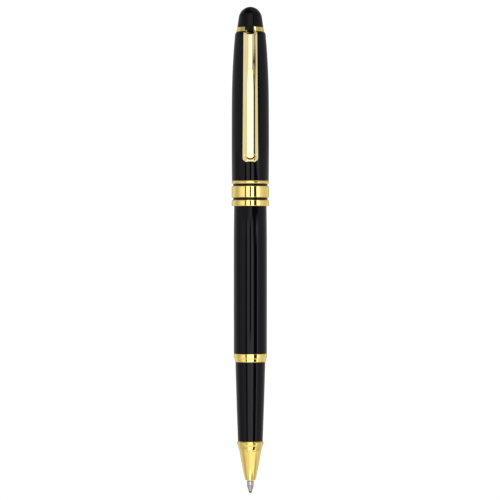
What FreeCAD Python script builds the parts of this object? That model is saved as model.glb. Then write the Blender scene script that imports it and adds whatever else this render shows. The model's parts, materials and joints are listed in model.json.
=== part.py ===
import FreeCAD, Part
import math
import os

# A rollerball pen with its pull-off cap pushed onto the tail of the barrel.
# Millimetres. The pen's axis is Z, the writing point is at the origin with the
# barrel above it, and the pocket clip is on the -Y side.

# ---- driving dimensions: heights along the pen ----
CONE_EXIT_Z = 4.06        # where the point leaves the nose cone
CONE_TOP_Z = 16.6         # nose cone meets the grip
GRIP_TOP_Z = 41.9         # grip meets the gold section ring
BARREL_FRONT_Z = 44.65    # open front end of the barrel
BARREL_TAPER_Z = 76.0     # the barrel is cylindrical below this and tapers above it
BARREL_TAIL_Z = 118.0     # rear end of the barrel tube
TAIL_PLUG_Z = 120.0       # top of the plug in the barrel's tail
CAP_MOUTH_Z = 91.8        # mouth of the cap when it is on the tail
CAP_TUBE_Z = 99.9         # lacquered cap tube starts above the gold bands
CAP_SHOULDER_Z = 147.5    # top face of the cap tube, where the clip collar sits
COLLAR_TOP_Z = 149.0      # clip collar meets the finial
PEN_TOP_Z = 155.6         # top of the finial

# ---- driving dimensions: radii ----
BALL_R = 0.35
POINT_R = 1.07
REFILL_R = 3.0
REFILL_WALL = 0.25
GRIP_FRONT_R = 3.99
GRIP_REAR_R = 4.76
GRIP_BORE_R = 3.62        # also the outside of the brass insert
BARREL_R = 5.31
BARREL_BORE_R = 4.80
TAIL_R = 4.50
TAIL_BORE_R = 4.10
CAP_MOUTH_R = 6.01        # outside of the gold bands
BAND_CHAMFER = 0.12
CAP_BORE_R = 5.25         # mouth of the cap, which wedges on the barrel's taper
CARRIER_R = 5.52          # sleeve under the gold bands, and bore of the cap tube
CAP_MAX_R = 5.995         # widest part of the lacquered cap tube

# ---- heights and radii shared by parts that meet inside ----
SPIGOT_R = 3.45           # insert's spigot in the nose cone
SPIGOT_Z = 15.2
SHANK_R = 0.90            # point's rear end, pressed into the refill's nose
SHANK_LOW_Z = 6.4
SHANK_HIGH_Z = 9.4
SHANK_CHAMFER = 0.2
WICK_R = 0.5
WICK_BORE_R = 0.55
WICK_LOW_Z = 2.9
WICK_HIGH_Z = 30.0
REFILL_NOSE_Z = 17.5      # refill's nose meets its tube
REFILL_NOSE_HIGH_Z = 22.0
RESERVOIR_R = 2.65
RESERVOIR_LOW_Z = 23.0
RESERVOIR_HIGH_Z = 102.0
REFILL_TUBE_Z = 108.0     # refill's tube meets its end plug
TAIL_BORE_Z = 108.0       # barrel's bore stops narrowing here
TAIL_PLUG_LOW_Z = 109.5
SPRING_ROOM_Z = 113.2     # tail plug's guide narrows to the spring here
MOUTH_LIP = 0.35          # thickness of the mouth band's lip under the sleeve
SLEEVE_TOP_Z = 101.0      # mouth sleeve ends and the clutch ring's groove starts
LINER_LOW_Z = 102.8       # groove ends and the liner starts
CAP_BORE_BEND_Z = 122.0   # cap's bore narrows above this
CAP_BORE_NECK_Z = 135.0
CAP_BORE_NECK_R = 5.30
NUT_R = 4.60              # nut that holds the cap tube against the collar
NUT_NECK_R = 4.20
NUT_SHOULDER_Z = 143.0
FINIAL_ARC_R = 2.0        # finial's side arc ends and its crown starts
FINIAL_ARC_Z = 154.97

# ---- fits ----
RUN = 0.06                # radial clearance between parts that turn or slide
GAP = 0.05                # end clearance between parts that move apart

# ---- section thread: the front section screws into the barrel ----
PITCH = 0.75
THREAD_CORE_R = 3.60      # root radius of the outside thread
THREAD_CREST_R = 4.00     # crest radius of the outside thread
THREAD_HALF_ROOT = 0.31   # half the ridge's width at its root
THREAD_HALF_CREST = 0.08
THREAD_CLEARANCE = 0.08
THREAD_LOW_Z = 45.7
INSERT_TOP_Z = 51.0
BUSH_THREAD_TURNS = 9     # turns of the inside thread's tap, longer than its bush

# ---- clip ----
CLIP_TIP_Z = 105.5
CLIP_ROOT_W = 4.35
CLIP_TIP_W = 5.15
CLIP_PANEL_W = 2.2        # flat raised panel down the middle of the clip
CLIP_PANEL_TIP_Z = 106.9  # rounded lower end of that panel
CLIP_RIB_W = 1.25         # narrow rib on the upper part of the clip
CLIP_RIB_TIP_Z = 135.0    # rounded lower end of the rib
CLIP_STEP = 0.15          # height of the panel and of the rib
CLIP_BEVEL = 0.45         # drop of the bevels beside the panel
TONGUE_W = 3.2            # tongue that the collar holds
TONGUE_LOW_Z = 147.65
TONGUE_HIGH_Z = 148.25
TONGUE_INNER_Y = -3.0     # inner end of the tongue, short enough to clear the nut as it rocks
TONGUE_PLAY = 0.14        # gap round the tongue in the collar's slot

# ---- finial stud ----
STUD_R = 1.5
STUD_CORE_R = 1.22
STUD_PITCH = 0.5
STUD_HALF_ROOT = 0.15
STUD_HALF_CREST = 0.03
STUD_LOW_Z = 142.0
STUD_THREAD_TOP_Z = 147.0
STUD_HIGH_Z = 152.0

# ---- refill spring ----
SPRING_LOW_Z = 111.0
SPRING_HIGH_Z = 117.0
SPRING_R = 2.0
SPRING_WIRE_R = 0.22
SPRING_TURNS = 4
SPRING_WIRE_SIDES = 8

ORIGIN = FreeCAD.Vector(0, 0, 0)
AXIS = FreeCAD.Vector(0, 0, 1)


# ---- helpers ----

def on_profile(r, z):
    """A point of a turned outline, which is drawn in the XZ plane."""
    return FreeCAD.Vector(r, 0, z)


def outline_wire(steps, place):
    """A closed wire. A step is a point, or a pair of points for an arc through the first."""
    here = place(*steps[0])
    edges = []
    for step in steps[1:] + steps[:1]:
        if isinstance(step[0], tuple):
            through = place(*step[0])
            end = place(*step[1])
            edges.append(Part.Arc(here, through, end).toShape())
        else:
            end = place(*step)
            edges.append(Part.LineSegment(here, end).toShape())
        here = end
    return Part.Wire(edges)


def turned(*steps):
    """A solid of revolution about the pen's axis, from (radius, height) steps."""
    face = Part.Face(outline_wire(list(steps), on_profile))
    return face.revolve(ORIGIN, AXIS, 360)


def ring(r_in, r_out, z_low, z_high):
    """A plain ring of square section."""
    return turned((r_in, z_low), (r_out, z_low), (r_out, z_high), (r_in, z_high))


def rod(r, z_low, z_high):
    """A plain cylinder on the pen's axis."""
    return Part.makeCylinder(r, z_high - z_low, FreeCAD.Vector(0, 0, z_low), AXIS)


def block(x_low, x_high, y_low, y_high, z_low, z_high):
    """A box from its lowest to its highest corner."""
    corner = FreeCAD.Vector(x_low, y_low, z_low)
    return Part.makeBox(x_high - x_low, y_high - y_low, z_high - z_low, corner)


def dome(r, z, z_top):
    """Arc step from (r, z) up to the axis, on a sphere centred on the axis."""
    rise = z_top - z
    sphere_r = (r * r + rise * rise) / (2 * rise)
    middle = r / 2
    middle_z = z_top - sphere_r + math.sqrt(sphere_r ** 2 - middle ** 2)
    return ((middle, middle_z), (0.0, z_top))


def screw(core_r, crest_r, half_root, half_crest, pitch, z_low, z_high):
    """A rod with a right-hand ridge of trapezoid section wound along it.

    The ridge starts and ends half a turn inside the rod, and its root is sunk
    a little into the core so that the two make one solid.
    """
    root_r = core_r - 0.1
    start = z_low + pitch / 2
    path = Part.makeHelix(pitch, z_high - z_low - pitch, root_r)
    path.translate(FreeCAD.Vector(0, 0, start))
    section = outline_wire(
        [
            (root_r, start - half_root),
            (crest_r, start - half_crest),
            (crest_r, start + half_crest),
            (root_r, start + half_root),
        ],
        on_profile,
    )
    ridge = Part.Wire(path.Edges).makePipeShell([section], True, True)
    return rod(core_r, z_low, z_high).fuse(ridge)


def tail_radius(z):
    """Outer radius of the barrel: a long arc that leaves the cylinder smoothly."""
    share = (z - BARREL_TAPER_Z) / (BARREL_TAIL_Z - BARREL_TAPER_Z)
    return BARREL_R - (BARREL_R - TAIL_R) * max(share, 0.0) ** 2


# ---- refill ----

def refill_ball():
    """Writing ball, held by the rolled rim of the point."""
    return Part.makeSphere(BALL_R, FreeCAD.Vector(0, 0, BALL_R))


def refill_point():
    """Turned metal point: ball socket with a rolled rim, ink channel and wick bore."""
    body = turned(
        (0.0, 0.2),
        (0.45, 0.2),
        (0.68, 1.12),
        ((0.91, 1.76), (1.05, 2.4)),
        (POINT_R, 2.6),
        (POINT_R, SHANK_LOW_Z),
        (SHANK_R, SHANK_LOW_Z + SHANK_CHAMFER),
        (SHANK_R, SHANK_HIGH_Z),
        (0.0, SHANK_HIGH_Z),
    )
    socket = Part.makeSphere(BALL_R + 0.03, FreeCAD.Vector(0, 0, BALL_R))
    channel = rod(0.15, BALL_R, WICK_LOW_Z)
    wick_bore = rod(WICK_BORE_R, WICK_LOW_Z - 0.2, SHANK_HIGH_Z + 1)
    return body.cut(socket).cut(channel).cut(wick_bore)


def refill_nose():
    """Stepped plastic holder that carries the point and plugs the refill's tube."""
    shoulder_z = 7.56
    body = turned(
        (0.0, 5.3),
        (1.20, 5.3),
        (1.26, 5.5),
        (1.26, shoulder_z),
        (1.60, shoulder_z),
        (2.68, 13.6),
        (2.95, 15.0),
        (2.95, REFILL_NOSE_Z),
        (REFILL_R - REFILL_WALL, REFILL_NOSE_Z),
        (REFILL_R - REFILL_WALL, REFILL_NOSE_HIGH_Z),
        (0.0, REFILL_NOSE_HIGH_Z),
    )
    point_seat = turned(
        (0.0, 5.2),
        (POINT_R, 5.2),
        (POINT_R, SHANK_LOW_Z),
        (SHANK_R, SHANK_LOW_Z + SHANK_CHAMFER),
        (SHANK_R, SHANK_HIGH_Z),
        (0.0, SHANK_HIGH_Z),
    )
    wick_bore = rod(WICK_BORE_R, SHANK_HIGH_Z - 0.4, REFILL_NOSE_HIGH_Z + 1)
    return body.cut(point_seat).cut(wick_bore)


def refill_wick():
    return rod(WICK_R, WICK_LOW_Z, WICK_HIGH_Z)


def refill_reservoir():
    """Ink-soaked fibre rod with the wick pushed into its front end."""
    wick_hole = rod(WICK_R, RESERVOIR_LOW_Z - 1, WICK_HIGH_Z)
    return rod(RESERVOIR_R, RESERVOIR_LOW_Z, RESERVOIR_HIGH_Z).cut(wick_hole)


def refill_tube():
    return ring(REFILL_R - REFILL_WALL, REFILL_R, REFILL_NOSE_Z, REFILL_TUBE_Z)


def refill_end_plug():
    """Plastic plug with a flange, an air hole and a small boss inside the spring."""
    body = turned(
        (0.0, 103.0),
        (2.55, 103.0),
        (REFILL_R - REFILL_WALL, 103.5),
        (REFILL_R - REFILL_WALL, REFILL_TUBE_Z),
        (REFILL_R, REFILL_TUBE_Z),
        (REFILL_R, SPRING_LOW_Z - 0.3),
        (REFILL_R - 0.3, SPRING_LOW_Z),
        (1.55, SPRING_LOW_Z),
        (1.45, 112.2),
        (0.0, 112.2),
    )
    return body.cut(rod(0.4, 102.0, 113.0))


# ---- front section ----

def nose_cone():
    """Gold cone with a flared lip; it holds the refill's shoulder and takes the insert."""
    outside = [
        (1.15, CONE_EXIT_Z),
        (1.55, CONE_EXIT_Z),
        (1.70, CONE_EXIT_Z + 0.18),
        (3.50, 13.62),
        (3.58, 13.70),
        ((3.77, 14.55), (4.10, 15.40)),
        ((4.24, 15.80), (4.25, 16.15)),
        (4.10, CONE_TOP_Z),
    ]
    inside = [
        (SPIGOT_R, CONE_TOP_Z),
        (SPIGOT_R, SPIGOT_Z),
        (3.12, SPIGOT_Z),
        (3.12, 14.4),
        (2.86, 13.6),
        (1.78, 7.5),
        (1.38, 7.5),
        (1.38, 5.2),
        (1.15, 5.0),
    ]
    return turned(*(outside + inside))


def section_insert():
    """Brass tube through the grip, with the outside thread at its rear end."""
    body = turned(
        (0.0, SPIGOT_Z),
        (SPIGOT_R, SPIGOT_Z),
        (SPIGOT_R, CONE_TOP_Z),
        (GRIP_BORE_R, CONE_TOP_Z),
        (GRIP_BORE_R, THREAD_LOW_Z),
        (0.0, THREAD_LOW_Z),
    )
    thread = screw(
        THREAD_CORE_R,
        THREAD_CREST_R,
        THREAD_HALF_ROOT,
        THREAD_HALF_CREST,
        PITCH,
        THREAD_LOW_Z,
        INSERT_TOP_Z,
    )
    return body.fuse(thread).cut(rod(REFILL_R + 0.12, SPIGOT_Z - 1, INSERT_TOP_Z + 1))


def section_grip():
    """Black grip sleeve, slightly waisted towards the nose."""
    return turned(
        (GRIP_BORE_R, CONE_TOP_Z),
        (GRIP_FRONT_R - 0.1, CONE_TOP_Z),
        (GRIP_FRONT_R, CONE_TOP_Z + 0.15),
        ((4.35, 28.6), (GRIP_REAR_R, GRIP_TOP_Z - 0.1)),
        (GRIP_REAR_R - 0.1, GRIP_TOP_Z),
        (GRIP_BORE_R, GRIP_TOP_Z),
    )


def section_ring():
    """Gold ring in two steps: a rounded foot on the grip, then a band as wide as the barrel."""
    low = GRIP_TOP_Z + GAP
    high = BARREL_FRONT_Z - GAP
    foot_r = 4.99
    step_z = 42.95
    return turned(
        (GRIP_BORE_R + RUN, low),
        (GRIP_REAR_R, low),
        ((4.93, 42.05), (foot_r, 42.25)),
        (foot_r + 0.03, step_z),
        ((5.12, 43.05), (5.28, 43.3)),
        (BARREL_R, 43.5),
        (BARREL_R, high - 0.1),
        (BARREL_R - 0.06, high),
        (GRIP_BORE_R + RUN, high),
    )


# ---- barrel ----

def barrel_tube():
    """Lacquered tube: a cylinder that tapers on a long arc towards the tail."""
    middle = (BARREL_TAPER_Z + BARREL_TAIL_Z) / 2
    tail_round = 0.35
    shoulder = BARREL_TAIL_Z - tail_round
    return turned(
        (BARREL_BORE_R, BARREL_FRONT_Z),
        (BARREL_R - 0.06, BARREL_FRONT_Z),
        (BARREL_R, BARREL_FRONT_Z + 0.1),
        (BARREL_R, BARREL_TAPER_Z),
        ((tail_radius(middle), middle), (tail_radius(shoulder), shoulder)),
        (TAIL_R - tail_round * 0.4, BARREL_TAIL_Z),
        (TAIL_BORE_R, BARREL_TAIL_Z),
        (TAIL_BORE_R, TAIL_BORE_Z),
        (BARREL_BORE_R, 86.0),
    )


def barrel_thread_bush():
    """Brass bush in the front of the barrel, with the inside thread for the section."""
    low = BARREL_FRONT_Z + 0.15
    high = 55.0
    thread_start = 45.8
    thread_end = 51.4
    relief_end = 52.2
    widening = THREAD_CLEARANCE / math.cos(math.radians(30))
    tap = screw(
        THREAD_CORE_R + THREAD_CLEARANCE,
        THREAD_CREST_R + THREAD_CLEARANCE,
        THREAD_HALF_ROOT + widening,
        THREAD_HALF_CREST + widening,
        PITCH,
        THREAD_LOW_Z - PITCH,
        THREAD_LOW_Z + BUSH_THREAD_TURNS * PITCH,
    )
    relief_r = THREAD_CREST_R + THREAD_CLEARANCE + 0.05
    body = rod(BARREL_BORE_R, low, high).cut(tap)
    body = body.cut(rod(relief_r, low - 1, thread_start))
    body = body.cut(rod(relief_r, thread_end, relief_end))
    return body.cut(rod(REFILL_R + 0.3, relief_end - 0.1, high + 1))


def barrel_tail_plug():
    """Plug that closes the tail, with a guide for the refill and a seat for the spring."""
    flange_r = TAIL_R - 0.14
    return turned(
        (0.0, SPRING_HIGH_Z),
        (SPRING_R + 0.4, SPRING_HIGH_Z),
        (SPRING_R + 0.4, SPRING_ROOM_Z),
        (REFILL_R + 0.2, SPRING_ROOM_Z),
        (REFILL_R + 0.2, TAIL_PLUG_LOW_Z),
        (TAIL_BORE_R, TAIL_PLUG_LOW_Z),
        (TAIL_BORE_R, BARREL_TAIL_Z),
        (flange_r, BARREL_TAIL_Z),
        (flange_r, BARREL_TAIL_Z + 0.4),
        dome(flange_r, BARREL_TAIL_Z + 0.4, TAIL_PLUG_Z),
    )


def refill_spring():
    """Compression spring with open ends, between the refill's plug and the tail plug.

    The wire is eight-sided, so that each of its faces is a plain ruled helicoid.
    """
    low = SPRING_LOW_Z + SPRING_WIRE_R
    height = SPRING_HIGH_Z - SPRING_LOW_Z - 2 * SPRING_WIRE_R
    path = Part.makeHelix(height / SPRING_TURNS, height, SPRING_R)
    path.translate(FreeCAD.Vector(0, 0, low))
    section = []
    for side in range(SPRING_WIRE_SIDES):
        turn = 2 * math.pi * (side + 0.5) / SPRING_WIRE_SIDES
        section.append((SPRING_R + SPRING_WIRE_R * math.cos(turn), low + SPRING_WIRE_R * math.sin(turn)))
    wire_section = outline_wire(section, on_profile)
    return Part.Wire(path.Edges).makePipeShell([wire_section], True, True)


# ---- cap ----

def cap_mouth_sleeve():
    """Black sleeve that lines the mouth and shows in the grooves between the bands."""
    return ring(CAP_BORE_R + 0.03, CARRIER_R, CAP_MOUTH_Z + MOUTH_LIP, SLEEVE_TOP_Z)


def band_mouth_ring():
    """Lowest gold band, with a lip that covers the sleeve's end at the mouth."""
    high = 93.7
    return turned(
        (CAP_BORE_R, CAP_MOUTH_Z + 0.08),
        (CAP_BORE_R + 0.08, CAP_MOUTH_Z),
        (CAP_MOUTH_R - BAND_CHAMFER, CAP_MOUTH_Z),
        (CAP_MOUTH_R, CAP_MOUTH_Z + BAND_CHAMFER),
        (CAP_MOUTH_R, high - BAND_CHAMFER),
        (CAP_MOUTH_R - BAND_CHAMFER, high),
        (CARRIER_R, high),
        (CARRIER_R, CAP_MOUTH_Z + MOUTH_LIP),
        (CAP_BORE_R, CAP_MOUTH_Z + MOUTH_LIP),
    )


def band_wide_ring():
    """Wide middle band, a plain cylinder with small chamfers."""
    low = 94.5
    high = 98.18
    return turned(
        (CARRIER_R, low),
        (CAP_MOUTH_R - BAND_CHAMFER, low),
        (CAP_MOUTH_R, low + BAND_CHAMFER),
        (CAP_MOUTH_R, high - BAND_CHAMFER),
        (CAP_MOUTH_R - BAND_CHAMFER, high),
        (CARRIER_R, high),
    )


def band_upper_ring():
    """Rounded bead between the bands and the lacquered tube."""
    low = 98.93
    high = CAP_TUBE_Z
    return turned(
        (CARRIER_R, low),
        (5.82, low),
        ((CAP_MOUTH_R, (low + high) / 2), (5.86, high)),
        (CARRIER_R, high),
    )


def cap_tube():
    """Lacquered cap tube: nearly straight, then drawn in on an arc to the shoulder."""
    return turned(
        (CARRIER_R, CAP_TUBE_Z),
        (5.84, CAP_TUBE_Z),
        (5.93, CAP_TUBE_Z + 0.15),
        ((CAP_MAX_R, 113.0), (5.92, 126.7)),
        ((5.73, 134.4), (5.22, 143.3)),
        (4.97, 145.9),
        ((4.87, 146.85), (4.55, CAP_SHOULDER_Z)),
        (NUT_NECK_R, CAP_SHOULDER_Z),
        (NUT_NECK_R, NUT_SHOULDER_Z),
        (NUT_R + RUN, NUT_SHOULDER_Z),
        (CAP_BORE_NECK_R, CAP_BORE_NECK_Z),
        (CARRIER_R, CAP_BORE_BEND_Z),
    )


def cap_clutch_ring():
    """Split spring ring, spread by the barrel's tail, between the sleeve and the liner."""
    low = SLEEVE_TOP_Z + RUN
    high = LINER_LOW_Z
    whole = ring(tail_radius(low) + RUN, CARRIER_R - RUN, low, high)
    split = block(-0.6, 0.6, 0, 2 * CARRIER_R, low - 1, high + 1)
    return whole.cut(split)


def cap_liner():
    """Plastic inner cap: a thin thimble that closes above the point when the pen is shut."""
    low = LINER_LOW_Z + RUN
    wall = 0.4
    roof_z = 139.0
    return turned(
        (CARRIER_R - wall, low),
        (CARRIER_R, low),
        (CARRIER_R, CAP_BORE_BEND_Z),
        (CAP_BORE_NECK_R, CAP_BORE_NECK_Z),
        (5.02, roof_z - 0.5),
        (4.60, roof_z),
        (0.0, roof_z),
        (0.0, roof_z - 0.6),
        (4.40, roof_z - 0.6),
        (CAP_BORE_NECK_R - wall, CAP_BORE_NECK_Z),
        (CARRIER_R - wall, CAP_BORE_BEND_Z),
    )


def cap_top_bush():
    """Brass nut that holds the cap tube against the clip collar from inside."""
    low = 141.2
    body = turned(
        (0.0, low),
        (NUT_R, low),
        (NUT_R, NUT_SHOULDER_Z),
        (NUT_NECK_R, NUT_SHOULDER_Z),
        (NUT_NECK_R, CAP_SHOULDER_Z),
        (0.0, CAP_SHOULDER_Z),
    )
    widening = RUN / math.cos(math.radians(30))
    tap = screw(
        STUD_CORE_R + RUN,
        STUD_R + RUN,
        STUD_HALF_ROOT + widening,
        STUD_HALF_CREST + widening,
        STUD_PITCH,
        STUD_LOW_Z - 3 * STUD_PITCH,
        STUD_THREAD_TOP_Z + 3 * STUD_PITCH,
    )
    clearance_hole = rod(STUD_R + RUN + 0.03, STUD_THREAD_TOP_Z - 0.2, CAP_SHOULDER_Z + 1)
    return body.cut(tap).cut(clearance_hole)


def clip_collar():
    """Gold ring on the cap's shoulder, slotted over its whole height for the clip's tongue."""
    body = turned(
        (STUD_R, CAP_SHOULDER_Z),
        (4.42, CAP_SHOULDER_Z),
        (4.47, CAP_SHOULDER_Z + 0.1),
        (4.20, COLLAR_TOP_Z - 0.12),
        (4.08, COLLAR_TOP_Z),
        (STUD_R, COLLAR_TOP_Z),
    )
    half = TONGUE_W / 2 + TONGUE_PLAY
    inner = TONGUE_INNER_Y + TONGUE_PLAY
    slot = block(-half, half, -6.0, inner, CAP_SHOULDER_Z - 1, COLLAR_TOP_Z + 1)
    return body.cut(slot)


def cap_finial():
    """Black domed cap end with a blind hole for the stud."""
    body = turned(
        (0.0, COLLAR_TOP_Z),
        (4.12, COLLAR_TOP_Z),
        (4.18, COLLAR_TOP_Z + 0.1),
        (3.70, 152.3),
        ((3.13, 153.81), (FINIAL_ARC_R, FINIAL_ARC_Z)),
        dome(FINIAL_ARC_R, FINIAL_ARC_Z, PEN_TOP_Z),
    )
    return body.cut(rod(STUD_R, COLLAR_TOP_Z - 1, STUD_HIGH_Z))


def finial_stud():
    """Stud from the finial down through the collar, threaded where it enters the nut."""
    thread = screw(
        STUD_CORE_R,
        STUD_R,
        STUD_HALF_ROOT,
        STUD_HALF_CREST,
        STUD_PITCH,
        STUD_LOW_Z,
        STUD_THREAD_TOP_Z,
    )
    return thread.fuse(rod(STUD_R, STUD_THREAD_TOP_Z, STUD_HIGH_Z))


# ---- clip ----

def clip_side_outline(drop):
    """The clip from the side, as (y, z) steps, with its outer face moved in by drop."""
    return [
        (TONGUE_INNER_Y, TONGUE_LOW_Z),
        (TONGUE_INNER_Y, TONGUE_HIGH_Z),
        (-4.35 + drop, TONGUE_HIGH_Z),
        ((-5.87 + drop, 147.6 - drop / 2), (-6.55 + drop, 146.1)),
        ((-7.75 + drop, 126.0), (-8.1 + drop, CLIP_TIP_Z + 0.5)),
        (-7.75 + drop, CLIP_TIP_Z),
        (-6.7, CLIP_TIP_Z),
        ((-6.12, CLIP_TIP_Z + 1.4), (-6.75, CLIP_TIP_Z + 3.4)),
        ((-6.65, 126.0), (-5.75, 145.7)),
        ((-5.35, 146.9), (-4.35, TONGUE_LOW_Z)),
    ]


def clip_front_outline():
    """The clip seen from the front, as (x, z) steps: it widens towards a rounded tip."""
    root = CLIP_ROOT_W / 2
    tip = CLIP_TIP_W / 2
    corner = 1.5
    tongue = TONGUE_W / 2
    return [
        (-tongue, 149.0),
        (-tongue, 147.3),
        (-root, 146.7),
        (-tip, CLIP_TIP_Z + corner + 0.8),
        ((-tip + 0.35, CLIP_TIP_Z + 0.75), (-tip + corner, CLIP_TIP_Z)),
        (tip - corner, CLIP_TIP_Z),
        ((tip - 0.35, CLIP_TIP_Z + 0.75), (tip, CLIP_TIP_Z + corner + 0.8)),
        (root, 146.7),
        (tongue, 147.3),
        (tongue, 149.0),
    ]


def rounded_tab_outline(width, z_tip, z_high):
    """A strip with a half-round lower end, as (x, z) steps."""
    half = width / 2
    return [
        (-half, z_high),
        (-half, z_tip + half),
        ((0.0, z_tip), (half, z_tip + half)),
        (half, z_high),
    ]


def side_wire(drop, x):
    """The clip's side outline at one place across its width."""
    return outline_wire(clip_side_outline(drop), lambda y, z: FreeCAD.Vector(x, y, z))


def front_blank(steps):
    """A prism along Y from an outline seen from the front."""
    wire = outline_wire(steps, lambda x, z: FreeCAD.Vector(x, 0, z))
    return Part.Face(wire).extrude(FreeCAD.Vector(0, -10.0, 0))


def clip_slab(drop, width):
    """The clip's side outline as a slab of the given width."""
    face = Part.Face(side_wire(drop, -width / 2))
    return face.extrude(FreeCAD.Vector(width, 0, 0))


def clip_arm():
    """Gold clip: bevelled strip with a raised middle panel and a rib near its root."""
    half_panel = CLIP_PANEL_W / 2
    half_strip = CLIP_TIP_W / 2 + 0.1
    strip = clip_slab(0.0, CLIP_PANEL_W)
    for side in (-1, 1):
        inner = side_wire(0.0, side * half_panel)
        outer = side_wire(CLIP_BEVEL, side * half_strip)
        strip = strip.fuse(Part.makeLoft([inner, outer], True, True))
    strip = strip.common(front_blank(clip_front_outline()))
    panel_blank = front_blank(rounded_tab_outline(CLIP_PANEL_W, CLIP_PANEL_TIP_Z, 145.8))
    panel = clip_slab(-CLIP_STEP, CLIP_PANEL_W + 1).common(panel_blank)
    rib_blank = front_blank(rounded_tab_outline(CLIP_RIB_W, CLIP_RIB_TIP_Z, 145.8))
    rib = clip_slab(-2 * CLIP_STEP, CLIP_RIB_W + 1).common(rib_blank)
    return strip.fuse(panel).fuse(rib).removeSplitter()


PARTS = [
    refill_ball,
    refill_point,
    refill_nose,
    refill_wick,
    refill_reservoir,
    refill_tube,
    refill_end_plug,
    nose_cone,
    section_insert,
    section_grip,
    section_ring,
    barrel_tube,
    barrel_thread_bush,
    barrel_tail_plug,
    refill_spring,
    cap_mouth_sleeve,
    band_mouth_ring,
    band_wide_ring,
    band_upper_ring,
    cap_tube,
    cap_clutch_ring,
    cap_liner,
    cap_top_bush,
    clip_collar,
    cap_finial,
    finial_stud,
    clip_arm,
]

os.makedirs("parts", exist_ok=True)
for make in PARTS:
    shape = make()
    print(make.__name__, shape.ShapeType, shape.isValid(), len(shape.Solids), round(shape.Volume, 3))
    shape.exportStep("parts/" + make.__name__ + ".step")
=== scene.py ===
import json
import math

import bpy
import numpy as np
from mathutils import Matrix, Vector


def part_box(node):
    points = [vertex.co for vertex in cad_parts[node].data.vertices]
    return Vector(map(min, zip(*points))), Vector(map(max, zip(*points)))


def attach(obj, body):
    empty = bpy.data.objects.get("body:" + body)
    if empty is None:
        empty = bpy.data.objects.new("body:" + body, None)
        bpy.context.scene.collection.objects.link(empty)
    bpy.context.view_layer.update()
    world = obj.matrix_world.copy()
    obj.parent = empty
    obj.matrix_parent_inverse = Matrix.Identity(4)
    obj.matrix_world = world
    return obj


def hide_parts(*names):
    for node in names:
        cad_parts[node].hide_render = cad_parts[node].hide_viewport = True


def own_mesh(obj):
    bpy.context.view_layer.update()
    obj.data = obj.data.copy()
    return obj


# A black and gold rollerball pen, cap posted, in a light tent. Metres, in the
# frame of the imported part. Outlines are written in millimetres.

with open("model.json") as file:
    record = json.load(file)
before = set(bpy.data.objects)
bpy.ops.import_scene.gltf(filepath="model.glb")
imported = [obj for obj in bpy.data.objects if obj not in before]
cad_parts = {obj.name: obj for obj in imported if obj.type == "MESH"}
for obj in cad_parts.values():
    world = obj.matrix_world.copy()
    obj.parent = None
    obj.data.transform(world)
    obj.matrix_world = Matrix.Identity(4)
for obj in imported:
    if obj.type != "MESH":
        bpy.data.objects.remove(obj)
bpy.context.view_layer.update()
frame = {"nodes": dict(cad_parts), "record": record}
record = frame["record"]
SLOT_OF = {part["node"]: part["material_slot"] for part in record["subparts"]}
BODY_OF = {
    node: body
    for body, members in record["behaviour"]["bodies"].items()
    for node in members
}

MM = 0.001
LATHE_SEGMENTS = 192
ARC_STEP = math.radians(2.0)      # outline arcs are sampled about this finely
SMOOTH_JOIN = math.radians(3.0)   # corners flatter than this need no rounding
ROUNDING_SHARE = 0.42             # a rounded corner takes up to this much of each run beside it

# the clip's flat middle ends low down in a half-round groove, which the painted shade on the gold
# follows
PANEL_END_Z = 106.85
PANEL_HALF = 1.4


# ---------------------------------------------------------------- mesh helpers

def new_piece(name, vertices, faces, normals=None):
    """A mesh object, smooth shaded, with exact vertex normals if they are known."""
    mesh = bpy.data.meshes.new(name)
    mesh.from_pydata([tuple(v) for v in vertices], [], faces)
    mesh.polygons.foreach_set("use_smooth", [True] * len(mesh.polygons))
    mesh.update()
    if normals is not None:
        mesh.normals_split_custom_set_from_vertices([tuple(n) for n in normals])
    piece = bpy.data.objects.new(name, mesh)
    bpy.context.scene.collection.objects.link(piece)
    return piece


def dress(piece, node, material):
    """The piece stands for a CAD node: same body, its own material, and the node is hidden."""
    piece.data.materials.append(material)
    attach(piece, BODY_OF[node])
    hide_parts(node)
    return piece


def arc_run(start, through, end):
    """Points and tangents along the arc through three points of an outline."""
    a, b, c = (np.array(p, float) for p in (start, through, end))
    m = np.array([b - a, c - a])
    rhs = np.array([(b @ b - a @ a) / 2, (c @ c - a @ a) / 2])
    centre = np.linalg.solve(m, rhs)
    radius = np.linalg.norm(a - centre)
    angles = [math.atan2(*(p - centre)[::-1]) for p in (a, b, c)]
    turn = 1.0 if np.cross(b - a, c - b) > 0 else -1.0
    sweep = (turn * (angles[2] - angles[0])) % (2 * math.pi)
    count = max(8, int(sweep / ARC_STEP))
    run = []
    for k in range(count + 1):
        angle = angles[0] + turn * sweep * k / count
        spoke = np.array([math.cos(angle), math.sin(angle)])
        run.append((centre + radius * spoke, turn * np.array([-spoke[1], spoke[0]])))
    return run


def line_run(start, end):
    a, b = np.array(start, float), np.array(end, float)
    direction = (b - a) / np.linalg.norm(b - a)
    return [(a, direction), (b, direction)]


def run_between(run, low, high):
    """The run without its first low and last high of length."""
    points = np.array([p for p, t in run])
    tangents = np.array([t for p, t in run])
    steps = np.linalg.norm(np.diff(points, axis=0), axis=1)
    along = np.concatenate([[0.0], np.cumsum(steps)])
    first, last = low, along[-1] - high
    stops = [first] + [s for s in along if first + 1e-6 < s < last - 1e-6] + [last]
    out = []
    for s in stops:
        p = np.array([np.interp(s, along, points[:, k]) for k in (0, 1)])
        t = np.array([np.interp(s, along, tangents[:, k]) for k in (0, 1)])
        out.append((p, t / np.linalg.norm(t)))
    return out


def run_length(run):
    points = np.array([p for p, t in run])
    return float(np.linalg.norm(np.diff(points, axis=0), axis=1).sum())


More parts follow.
